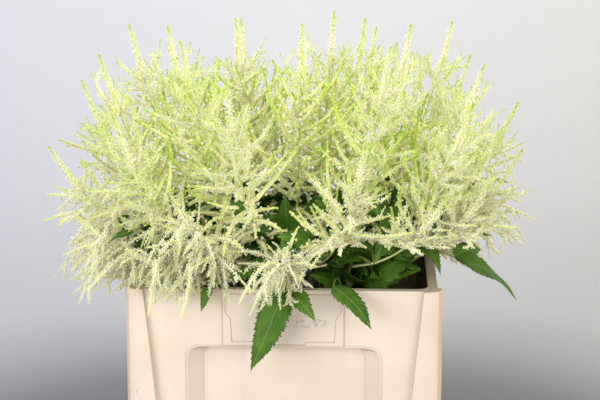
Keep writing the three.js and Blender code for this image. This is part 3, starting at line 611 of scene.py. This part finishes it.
def branch(length, name, seed):
    """A straight branch along Z: a lumpy core of flower hearts, crowded with petals, as a mesh to copy."""
    rng = random.Random(seed)
    kind = branch_kinds[name]
    opened = kind["open"]
    petal_length, petal_width = kind["petal"]
    shape = bmesh.new()
    ripeness = shape.verts.layers.float.new("ripeness")
    tone = shape.verts.layers.float.new("tone")
    bmesh.ops.create_cone(
        shape,
        segments=kind["sides"],
        radius1=1,
        radius2=1,
        depth=length,
        cap_ends=True,
        matrix=Matrix.Translation((0, 0, length / 2)),
    )
    uprights = [e for e in shape.edges if abs(e.verts[0].co.z - e.verts[1].co.z) > length / 2]
    bmesh.ops.subdivide_edges(shape, edges=uprights, cuts=max(2, round(length / core_step)))
    for vert in shape.verts:
        t = vert.co.z / length
        lump = core_foot if t == 0 else rng.uniform(*core_lumps)
        radius = kind["core"] * (1 - (1 - core_tip) * t) * lump
        vert.co.x *= radius
        vert.co.y *= radius
        vert.co.z += rng.uniform(-core_jog, core_jog) * core_step * (0 < t < 1)
        vert[ripeness] = core_ripeness + (1 - core_ripeness) * ease(opened - greening, 1.05, t)
        vert[tone] = core_shade_tone
    count = round(length / kind["step"])
    for j in range(count):
        t = (j + rng.random()) / count
        ripe = ease(opened - greening, 1.1, t)
        bud = ease(opened, opened + budding_over, t)
        angle = j * flower_turn + rng.uniform(-flower_jog, flower_jog)
        radial = Vector((math.cos(angle), math.sin(angle), 0))
        taper = 1 - (1 - core_tip) * t
        reach = petal_length * (1 - tip_shorter * t) * (1 - bud_shorter * bud)
        reach *= rng.uniform(*petal_length_spread)
        width = petal_width * (1 - tip_narrower * t) * (1 + bud_wider * bud)
        width *= rng.uniform(*petal_width_spread)
        out = (radial + Vector((0, 0, rng.uniform(*petal_rise) + bud_rise * bud))).normalized()
        heart = kind["core"] * taper * (petal_sink - bud_sink * bud)
        middle = radial * heart + out * reach / 2 + Vector((0, 0, length * t))
        turn = out.to_track_quat("Z", "Y").to_matrix().to_4x4()
        made = bmesh.ops.create_cone(
            shape,
            segments=3,
            radius1=0,
            radius2=width,
            depth=reach,
            cap_ends=True,
            matrix=Matrix.Translation(middle) @ turn @ Matrix.Rotation(rng.uniform(0, 2), 4, "Z"),
        )
        shade = rng.uniform(*petal_tone)
        for vert in made["verts"]:
            at_root = len(vert.link_edges) == 3 and (vert.co - middle).dot(out) < 0
            vert[ripeness] = min(1, ripe + root_greener * at_root)
            vert[tone] = shade * (1 - root_shade * at_root)
    bmesh.ops.triangulate(shape, faces=shape.faces)
    return mesh_from("branch", shape, smooth=False)


branches = {
    (name, length): [branch(length, name, seed) for seed in range(branch_copies)]
    for name in branch_kinds
    for length in branch_lengths
}


def middle_of(verts):
    """The middle of some corners, added up in a fixed order."""
    places = sorted(tuple(vert.co) for vert in verts)
    return sum((Vector(place) for place in places), Vector()) / len(verts)


def plume_lines(node):
    """The line of a plume's axis from its foot to its tip, and of each branch, from its solid."""
    solid = merged_solid(node)

    def walk(tip, taken, count):
        """The rings of corners, so many to each, one behind another from a tip."""
        rings = []
        level = {tip}
        seen = {tip} | taken
        while True:
            level = {e.other_vert(v) for v in level for e in v.link_edges} - seen
            if len(level) != count:
                return rings
            rings.append(level)
            seen |= level

    taken = set()
    lines = []
    for tip in [v for v in solid.verts if len(v.link_edges) == 3]:
        rings = walk(tip, set(), 3)
        lines.append([middle_of(ring) for ring in reversed(rings)] + [tip.co.copy()])
        taken.add(tip)
        for ring in rings[:-1]:
            taken |= ring
    tops = [v for v in solid.verts if len(v.link_edges) == 4 and v not in taken]
    top = max(tops, key=lambda v: len(walk(v, taken, 4)))
    axis = [middle_of(ring) for ring in reversed(walk(top, taken, 4))] + [top.co.copy()]
    solid.free()
    return axis, lines


curve_steps = 8  # between two points that a curve goes through


def smooth_line(points, count):
    """Evenly spaced points on a smooth curve through some points, and the curve's length."""
    ends = [2 * points[0] - points[1]] + points + [2 * points[-1] - points[-2]]
    fine = []
    for a, b, c, d in zip(ends, ends[1:], ends[2:], ends[3:]):
        for step in range(curve_steps):
            t = step / curve_steps
            square = (2 * a - 5 * b + 4 * c - d) * t**2
            cube = (3 * b - a - 3 * c + d) * t**3
            fine.append(0.5 * (2 * b + (c - a) * t + square + cube))
    fine.append(points[-1])
    lengths = [0.0]
    for one, other in zip(fine, fine[1:]):
        lengths.append(lengths[-1] + (other - one).length)
    line = []
    k = 0
    for i in range(count + 1):
        want = lengths[-1] * i / count
        while k + 2 < len(fine) and lengths[k + 1] < want:
            k += 1
        share = (want - lengths[k]) / max(lengths[k + 1] - lengths[k], 1e-9)
        line.append(fine[k].lerp(fine[k + 1], share))
    return line, lengths[-1]


def depth(point):
    """How deep inside the mass of plumes a point lies: 0 at its skin, 1 in the middle."""
    narrow = 1 - low_narrowing * ease(mass_middle, rim_clear, point.z)
    across, along = point.x / mass_reach[0] / narrow, point.y / mass_reach[1] / narrow
    shares = (across, along, max(point.z - mass_middle, 0) / mass_reach[2])
    return 1 - sum(abs(share) ** mass_squareness for share in shares) ** (1 / mass_squareness)


def lay_branch(shape, line, length, rng, thick, kind):
    """Adds the branch of a kind that comes nearest in length, with coarser flowers deep inside."""
    size = min(branch_lengths, key=lambda known: abs(known - length))
    if depth(line[len(line) // 2]) > hidden_depth:
        kind = "hidden"
    lay_along(shape, rng.choice(branches[kind, size]), size, line, thick, rng.uniform(0, 2 * math.pi))


def leafiness(point):
    """1 where the leaves show under the plumes, and 0 round it."""
    away = math.hypot(point.x - leafy_side[0], point.y - leafy_side[1])
    return ease(leafy_reach, leafy_reach / 2, away)


def clear_of_rim(point):
    """A point lifted over the container's rim. Outside the rim it may hang a little lower."""
    outside = max(abs(point.x) - rim_length / 2, abs(point.y) - rim_width / 2, 0)
    lowest = max(rim_clear - hang_slope * outside, hang_lowest)
    return Vector((point.x, point.y, max(point.z, lowest)))


def clear_of_leaves(point):
    """The same for the flowers, which also keep over the leaves where these show."""
    point = clear_of_rim(point)
    lift = max(leafy_lift - point.z, 0) * leafiness(point)
    return point + Vector((0, 0, lift))


def limpness(point):
    """How far the end of a branch here hangs down, as a share of its length; below 0 it turns up."""
    low = ease(*hang_height, point.z) * (1 - leafiness(point))
    return hang * low - upturn * (1 - low)


def offshoot(line, u, bearing, tilt, reach, rng):
    """The curved line of a side branch: out of its stalk, then bending on along it, or down."""
    last = len(line) - 1
    k = min(int(last * u), last - 1)
    along = (line[k + 1] - line[k]).normalized()
    root = line[k].lerp(line[k + 1], last * u - k)
    radial = along.orthogonal().normalized()
    radial.rotate(Matrix.Rotation(bearing, 3, along))
    start = along * math.cos(tilt) + radial * math.sin(tilt)
    droop = rng.uniform(*shoot_droop_spread) * limpness(root)
    sway = along.cross(radial) * rng.uniform(-shoot_sway, shoot_sway)
    bend = (along * rng.uniform(0, shoot_along) + sway - Vector((0, 0, droop))) * reach
    points = [clear_of_leaves(root + start * reach * t + bend * t * t) for t in shoot_points]
    return smooth_line(points, branch_steps)


def grow_sprigs(shape, line, youth, rng):
    """Lays short branches round a side branch, where they can be seen."""
    if depth(line[branch_steps // 2]) > hidden_depth:
        return
    for k in range(sprigs):
        u = sprig_from + sprig_span * (k + rng.random()) / sprigs
        bearing = k * flower_turn + rng.uniform(0, 2)
        tilt = math.radians(rng.uniform(*sprig_tilt))
        reach = sprig_reach * rng.uniform(*sprig_reach_spread)
        sprig, reach = offshoot(line, u, bearing, tilt, reach, rng)
        lay_branch(shape, sprig, reach, rng, 1, "budding" if rng.random() < youth else "spray")


ripening_tones = [
    # ripeness, colour: from an open flower to a bud
    (0.0, (0.97, 0.94, 0.76)),
    (0.35, (0.95, 0.93, 0.66)),
    (0.65, (0.88, 0.90, 0.46)),
    (0.88, (0.68, 0.80, 0.30)),
    (1.0, (0.46, 0.60, 0.18)),
]
lime = (0.78, 0.95, 0.42)
withered_brown = (0.90, 0.76, 0.55)
core_speckle_shade = ((0.80, 0.84, 0.48), (1.0, 1.0, 0.88))  # painted shade between the flowers
core_gap_shade = (0.45, 0.51, 0.18)

flowers, tree, shader, output = principled("creamy_flowers")
ripeness = add(tree, "ShaderNodeAttribute", attribute_name="ripeness").outputs["Fac"]
tone = add(tree, "ShaderNodeAttribute", attribute_name="tone").outputs["Fac"]
place = add(tree, "ShaderNodeTexCoord").outputs["Object"]
height = add(tree, "ShaderNodeSeparateXYZ", {"Vector": place}).outputs["Z"]
ripeness = math_of(tree, "MULTIPLY", ripeness, remap(tree, height, 0.34, 0.46, 0.5, 1))
colour = ramp(tree, ripeness, ripening_tones)
limes = remap(tree, noise_of(tree, place, 17, detail=3), 0.45, 0.62, 0, 0.75)
limes = math_of(tree, "MULTIPLY", limes, remap(tree, height, 0.38, 0.47, 0.15, 1))
limes = math_of(tree, "MULTIPLY", limes, remap(tree, ripeness, 0, 0.4, 0.5, 1))
colour = blend(tree, limes, colour, lime, "MULTIPLY")
withered = remap(tree, noise_of(tree, place, 60, detail=3), 0.56, 0.68, 0, 0.6)
colour = blend(tree, withered, colour, withered_brown, "MULTIPLY")
# Painted shade between the flowers: speckles with darker gaps, mixed in where the tone is low.
speckled_shade = mottled(tree, place, 420, *core_speckle_shade)
gap_shade_mask = remap(tree, noise_of(tree, place, 330, detail=3), 0.34, 0.4)
speckled_shade = blend(tree, gap_shade_mask, core_gap_shade, speckled_shade)
shaded = blend(tree, 1, colour, speckled_shade, "MULTIPLY")
colour = blend(tree, remap(tree, tone, 0.65, 0.15, 0, 1), colour, shaded)
tree.links.new(colour, shader.inputs["Base Color"])
shader.inputs["Roughness"].default_value = 0.7
shader.inputs["Specular IOR Level"].default_value = 0.2
shader.inputs["Subsurface Weight"].default_value = 0.5
shader.inputs["Subsurface Radius"].default_value = (1.0, 0.9, 0.4)
shader.inputs["Subsurface Scale"].default_value = 0.003

axis_rod = round_rod(5, 20, axis_taper)
plume_feet = []
for index in range(plume_count):
    node = f"plume_{index + 1:02d}"
    rng = random.Random(index)
    axis, lines = plume_lines(node)
    tip = axis[-1].copy()
    flatness = 1 - (tip - axis[-2]).normalized().z
    rise = Vector((0, 0, curl * rng.uniform(*curl_spread) * min(flatness, 1)))
    for line in [axis] + lines:
        for point in line:
            point += rise * max(1 - (point - tip).length / curl_span, 0) ** 2
    plume_feet.append(axis[0])
    shape = bmesh.new()
    ripeness = shape.verts.layers.float.new("ripeness")
    tone = shape.verts.layers.float.new("tone")
    youth = high_youth * ease(*youth_height, axis[-1].z) + rng.uniform(*youth_spread)
    spine, length = smooth_line([axis[0].lerp(necks[index], axis_below)] + axis, spine_steps)
    lay_along(shape, axis_rod, 1, spine, axis_radius, 0)
    for vert in shape.verts:
        vert[ripeness] = axis_ripeness
        vert[tone] = axis_tone
    for points in lines:
        heading = points[-1] - points[0]
        reach = heading.length
        aside = heading.orthogonal().normalized() * long_sway * reach
        aside.rotate(Matrix.Rotation(rng.uniform(0, 2 * math.pi), 3, heading))
        droop = rng.uniform(*long_droop_spread) * limpness(points[-1]) * reach
        bend = aside - Vector((0, 0, droop))
        last = len(points) - 1
        points = [clear_of_leaves(point + bend * (k / last) ** 2) for k, point in enumerate(points)]
        line, reach = smooth_line(points, branch_steps)
        kind = "blossom" if rng.random() < creamy_share else "spray"
        bare = (line[-1] - spine[-1]).length < bare_end
        if bare:
            kind = "budding"
            line = line[:bare_steps + 1]
            reach *= bare_steps / branch_steps
        lay_branch(shape, line, reach, rng, 1, kind)
        if not bare:
            grow_sprigs(shape, line, youth, rng)
    spike = spine[-1 - round(spine_steps * spike_length / length):]
    lay_branch(shape, spike, spike_length, rng, spike_thickness, "blossom")
    for j in range(side_branches):
        share = ((j + rng.random()) / side_branches) ** side_crowding
        down = side_start + (length - side_start) * share
        reach = side_reach[0] + (side_reach[1] - side_reach[0]) * ease(*side_full, down)
        tilt = side_tilt[0] + (side_tilt[1] - side_tilt[0]) * ease(*side_tilt_below, down)
        tilt = math.radians(tilt + rng.uniform(-side_tilt_spread, side_tilt_spread))
        bearing = j * flower_turn + rng.uniform(-side_turn_spread, side_turn_spread)
        reach *= rng.uniform(*side_reach_spread)
        line, reach = offshoot(spine, 1 - down / length, bearing, tilt, reach, rng)
        kind = "budding" if rng.random() < youth else "spray"
        lay_branch(shape, line, reach, rng, 1, kind)
        grow_sprigs(shape, line, youth, rng)
    piece = link(f"{node}_flowers", mesh_from(node, shape, smooth=False))
    piece.data.materials.append(flowers)
    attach(piece, "root")
    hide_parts(node)

# --- Stems and leaves -----------------------------------------------------------------------
# The flower stems stand in tied bunches on the container's floor and fan out over its rim. Each
# bunch keeps some of its leaves: thin toothed blades, folded along a pale rib, on wiry stalks.

bunch_columns = [-0.1152, -0.0576, 0, 0.0576, 0.1152]
bunch_rows = [-0.0485, 0.0485]
stem_floor = 0.0033
stem_tie = 0.11  # height
stem_lean = 0.004  # from the middle of its bunch, where it is tied
stem_radius = 0.0023
stem_taper = 0.8
stem_steps = 24
stem_seed = 500

solid_outline = {"fullness": 1.34, "base": 0.55, "tip": 0.95}  # of a solid's blade
rim_fold = math.radians(150)  # the two faces of a solid's blade meet more sharply than this
leaf_outline = {"fullness": 1.43, "base": 0.5, "tip": 1.2}  # broad near the base, drawn out to the tip
leaf_arch = 0.09  # how far a blade bows up, as a share of its length
leaf_fold = 0.22  # how far its halves fold up, as a share of their width
leaf_sag = 0.12  # and how far their edges drop again
leaf_thickness = 0.0006
leaf_face_up = 0.9  # how far a blade faces up rather than outwards
leaf_ripple = (0.015, 0.035)  # height of the waves along its edge, as a share of its length
leaf_ripple_turn = 9  # radians of wave along a blade
leaf_twist = 0.25
leaf_sway = 0.04  # how far its rib bends aside, as a share of its length
leaf_rows = 6  # of faces across a blade,
shaded_leaf_rows = 2  # and across a small shaded one, which also has fewer teeth
leaf_tooth = 0.0068  # length of rim to a large tooth, which has a small one before it
leaf_tooth_depth = 0.24
leaf_tooth_lean = 0.9  # of a step, towards the tip
leaf_tooth_spread = (0.5, 1.2)
leaf_tooth_notches = (1, 0.45, 0.68, 0)  # from one deep notch on to the point of the tooth
leaf_rim_power = 6  # more keeps the teeth nearer to the rim

stalk_radius = 0.0013
stalk_taper = 0.6
stalk_steps = 10
stalk_drop = 0.042  # it leaves its stem this far below its blade
stalk_knee = 0.62  # where it bends over, as a share of the way to its blade
stalk_arch = 0.0025
stalk_into_blade = 0.04  # of the blade's length
stalk_apart = 0.001  # blades that start nearer than this share a stalk

inner_leaves = 5  # to each stem, small and shaded, inside the plumes
inner_leaf_reach = (-0.1, 1.3)  # along its stem, from its neck to its plume's foot and on
inner_leaf_top = 0.43
inner_leaf_length = 0.05
inner_leaf_width = 0.029
inner_leaf_stand = 0.012  # from the foot of its stalk, outwards and up
inner_leaf_rise = (-0.3, 1.2)
inner_leaf_spread = (0.8, 1.2)
inner_leaf_shade = 0.8  # of the depth where the flowers get coarser
low_leaves = 26  # to each stem where the leaves show, at the rim,
low_leaf_reach = (0.82, 1.1)  # along its stem, from its tie to its neck and on
low_leaf_size = 0.6  # and larger by this share
low_leaf_way = Vector((1, -0.5, 0))  # and turned to the right and the front
low_leaf_bias = 0.5
mouth_half = (0.171, 0.121)  # the leaves inside the mouth keep this near to its middle


def outline_at(u, outline):
    """Half width of a blade along its length, for each metre of its full width."""
    return outline["fullness"] * u ** outline["base"] * (1 - u) ** outline["tip"]


def blades_of(node):
    """The base, tip and width of each blade, read from three points of its rib and two of its rim."""
    solid = merged_solid(node)
    rim = {e for e in solid.edges if e.is_manifold and e.calc_face_angle() > rim_fold}
    found = []
    for tip in solid.verts:
        sides = [e.other_vert(tip) for e in tip.link_edges if e in rim]
        ribs = [e.other_vert(tip) for e in tip.link_edges if e not in rim]
        if len(sides) != 2 or len(ribs) != 2 or any(len(v.link_edges) != 4 for v in sides):
            continue
        inner = []
        for rib in ribs:
            ahead = 2 * rib.co - tip.co
            others = [e.other_vert(rib) for e in rib.link_edges]
            inner.append(min((v for v in others if v is not tip), key=lambda v: (v.co - ahead).length))
        step = middle_of(ribs) - tip.co
        bend = middle_of(inner) - middle_of(ribs) - step
        steps = round(8 * leaf_arch * step.length / bend.length)  # as in any parabola
        base = tip.co + step * steps + bend * steps * (steps - 1) / 2
        half = (sides[0].co - sides[1].co).length / 2
        found.append((base, tip.co.copy(), half / outline_at(1 - 1 / (2 * steps), solid_outline)))
    solid.free()
    return found


def blade(shape, base, tip, width, rows, rng):
    """One toothed blade, bowed up, folded along its rib and puckered."""
    heading = tip - base
    outward = Vector((base.x / rim_length, base.y / rim_width, 0)).normalized()
    outward.z += leaf_face_up
    side = heading.cross(outward).normalized()
    face = side.cross(heading).normalized()
    teeth = max(3, round(heading.length / leaf_tooth * rows / leaf_rows))
    notches = len(leaf_tooth_notches)
    steps = teeth * notches
    made = bmesh.ops.create_grid(shape, x_segments=steps, y_segments=rows, size=1)
    rib_way = shape.verts.layers.float["rib_way"]
    rib_off = shape.verts.layers.float["rib_off"]
    phase = rng.uniform(0, 6)
    ripple = rng.uniform(*leaf_ripple) * heading.length
    twist = rng.uniform(-leaf_twist, leaf_twist)
    sway = rng.uniform(-leaf_sway, leaf_sway) * heading.length
    sizes = [[rng.uniform(*leaf_tooth_spread) for _ in range(teeth + 1)] for _ in range(2)]
    for vert in made["verts"]:
        u = min(max((vert.co.x + 1) / 2, 0), 1)
        w = vert.co.y
        k = round(u * steps)
        size = sizes[w > 0][k // notches]
        notch = leaf_tooth_notches[k % notches]
        at_rim = abs(w) ** leaf_rim_power
        cut = leaf_tooth_depth * (notch * size) * at_rim
        half = width * outline_at(u, leaf_outline) * (1 - cut)
        lean = (1 - notch) * size * leaf_tooth_lean / steps * at_rim * (0 < u < 1)
        lift = 4 * leaf_arch * heading.length * u * (1 - u)
        lift += leaf_fold * abs(w) * half - leaf_sag * w * w * half + twist * w * half * u
        lift += ripple * abs(w) * math.sin(leaf_ripple_turn * u + phase + w) * 4 * u * (1 - u)
        vert[rib_way] = u * heading.length * 1000  # in millimetres
        vert[rib_off] = w * half * 1000
        middle = base + heading * (u + lean) + side * sway * math.sin(math.pi * u)
        vert.co = middle + side * w * half + face * lift
    facets = list(dict.fromkeys(f for v in made["verts"] for f in v.link_faces))
    for facet in facets:
        facet.material_index = 1
    bmesh.ops.solidify(shape, geom=facets, thickness=leaf_thickness)


def leaf_stalk(shape, foot, base, tip):
    """A wiry stalk that leaves its stem, bends over and runs into its blade."""
    knee = foot.lerp(base, stalk_knee)
    knee.z = base.z + stalk_arch
    end = base + (tip - base) * stalk_into_blade
    line, _ = smooth_line([foot, knee, base, end], stalk_steps)
    lay_along(shape, stalk_rod, 1, line, stalk_radius, 0)


centres = [Vector((x, y, stem_tie)) for y in bunch_rows for x in bunch_columns]
members = [[] for _ in centres]
for index, neck in enumerate(necks):
    level = Vector((neck.x, neck.y, stem_tie))
    bunch = min(range(len(centres)), key=lambda b: (centres[b] - level).length)
    members[bunch].append(index)

stem_tones = ((0.14, 0.22, 0.035), (0.26, 0.32, 0.08))  # in darker and lighter patches
ruddy_brown = (0.3, 0.19, 0.09)

stem_green, tree, shader, output = principled("stem_green")
place = add(tree, "ShaderNodeTexCoord").outputs["Object"]
colour = mottled(tree, place, 35, *stem_tones)
ruddy = remap(tree, noise_of(tree, place, 60, detail=3), 0.56, 0.7, 0, 0.7)
tree.links.new(blend(tree, ruddy, colour, ruddy_brown), shader.inputs["Base Color"])
shader.inputs["Roughness"].default_value = 0.5
ribs = noise_of(tree, place, 700, detail=3, stretch=(1, 1, 0.04))
bump = add(tree, "ShaderNodeBump", {"Height": ribs, "Strength": 0.4, "Distance": 0.0003})
tree.links.new(bump.outputs["Normal"], shader.inputs["Normal"])

leaf_tones = ((0.032, 0.092, 0.007), (0.072, 0.18, 0.013))  # in darker and lighter patches
blotch_green = (0.12, 0.25, 0.022)
vein_green = (0.21, 0.34, 0.07)
vein_step = 7.0  # millimetres of rib between side veins
vein_slant = 0.95
side_vein_strength = 0.42
vein_strength = 0.75

leaf_green, tree, shader, output = principled("leaf_green")
place = add(tree, "ShaderNodeTexCoord").outputs["Object"]
way = add(tree, "ShaderNodeAttribute", attribute_name="rib_way").outputs["Fac"]
off = add(tree, "ShaderNodeAttribute", attribute_name="rib_off").outputs["Fac"]
off = math_of(tree, "ABSOLUTE", off)
slanted = math_of(tree, "MULTIPLY_ADD", off, -vein_slant, way)
wave = math_of(tree, "PINGPONG", slanted, vein_step / 2)
side_vein = remap(tree, wave, 0.0, 0.6, 1.0, 0.0)
side_vein = math_of(tree, "MULTIPLY", side_vein, side_vein_strength)
mid_vein = remap(tree, off, 0.25, 0.6, 1.0, 0.0)
veins = math_of(tree, "MAXIMUM", side_vein, mid_vein)
colour = mottled(tree, place, 22, *leaf_tones)
blotches = remap(tree, noise_of(tree, place, 90), 0.5, 0.72, 0, 0.5)
colour = blend(tree, blotches, colour, blotch_green)
colour = blend(tree, math_of(tree, "MULTIPLY", veins, vein_strength), colour, vein_green)
tree.links.new(colour, shader.inputs["Base Color"])
shader.inputs["Roughness"].default_value = 0.52
shader.inputs["Specular IOR Level"].default_value = 0.2
net = add(tree, "ShaderNodeTexVoronoi", {"Vector": place, "Scale": 600}, feature="DISTANCE_TO_EDGE")
relief = math_of(tree, "MULTIPLY_ADD", veins, -1.0, net.outputs["Distance"])
bump = add(tree, "ShaderNodeBump", {"Height": relief, "Strength": 0.4, "Distance": 0.0006})
tree.links.new(bump.outputs["Normal"], shader.inputs["Normal"])

stem_rod = round_rod(6, stem_steps, stem_taper)
stalk_rod = round_rod(5, stalk_steps, stalk_taper)
for b, centre in enumerate(centres):
    rng = random.Random(stem_seed + b)
    shape = bmesh.new()
    shape.verts.layers.float.new("rib_way")
    shape.verts.layers.float.new("rib_off")
    node = f"stems_{b + 1:02d}"
    bearings = {i: math.atan2(necks[i].y - centre.y, necks[i].x - centre.x) for i in members[b]}
    ranked = sorted(members[b], key=bearings.get)
    ties = {}
    for rank, index in enumerate(ranked):
        angle = bearings[ranked[0]] + 2 * math.pi * rank / len(ranked)
        tie = centre + Vector((math.cos(angle), math.sin(angle), 0)) * stem_lean
        ties[index] = tie
        floor = Vector((tie.x, tie.y, stem_floor))
        line, _ = smooth_line([floor, tie, necks[index], plume_feet[index]], stem_steps)
        lay_along(shape, stem_rod, 1, line, stem_radius, 0)
    stalked = []
    for base, tip, width in blades_of(node):
        blade(shape, base, tip, width, leaf_rows, rng)
        if all((base - other).length > stalk_apart for other in stalked):
            stalked.append(base)
            rise = (min(base.z - stalk_drop, neck_height) - stem_tie) / (neck_height - stem_tie)
            feet = [ties[i].lerp(necks[i], rise) for i in ranked]
            leaf_stalk(shape, min(feet, key=lambda foot: (foot - base).length), base, tip)
    feet = [necks[i].lerp(plume_feet[i], rng.uniform(*inner_leaf_reach)) for i in ranked * inner_leaves]
    for i in ranked:
        for _ in range(round(low_leaves * leafiness(necks[i]))):
            feet.append(ties[i].lerp(necks[i], rng.uniform(*low_leaf_reach)))
    for foot in feet:
        turn = rng.uniform(0, 2 * math.pi)
        out = Vector((math.cos(turn), math.sin(turn), 0))
        out += low_leaf_way * low_leaf_bias * leafiness(foot)
        base = foot + out * inner_leaf_stand + Vector((0, 0, inner_leaf_stand))
        lean = (out + Vector((0, 0, rng.uniform(*inner_leaf_rise)))).normalized()
        size = rng.uniform(*inner_leaf_spread) * (1 + low_leaf_size * leafiness(base))
        tip = base + lean * inner_leaf_length * size
        in_mouth = abs(tip.x) < mouth_half[0] and abs(tip.y) < mouth_half[1]
        clear = in_mouth or (base.z > rim_clear and tip.z > rim_clear)
        shaded = in_mouth or depth(tip) > hidden_depth * inner_leaf_shade
        if clear and shaded and tip.z < inner_leaf_top:
            blade(shape, base, tip, inner_leaf_width * size, shaded_leaf_rows, rng)
            leaf_stalk(shape, foot, base, tip)
    bmesh.ops.recalc_face_normals(shape, faces=shape.faces)
    piece = link(f"{node}_green", mesh_from(f"{node}_green", shape))
    piece.data.materials.append(stem_green)
    piece.data.materials.append(leaf_green)
    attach(piece, "root")
    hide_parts(node)
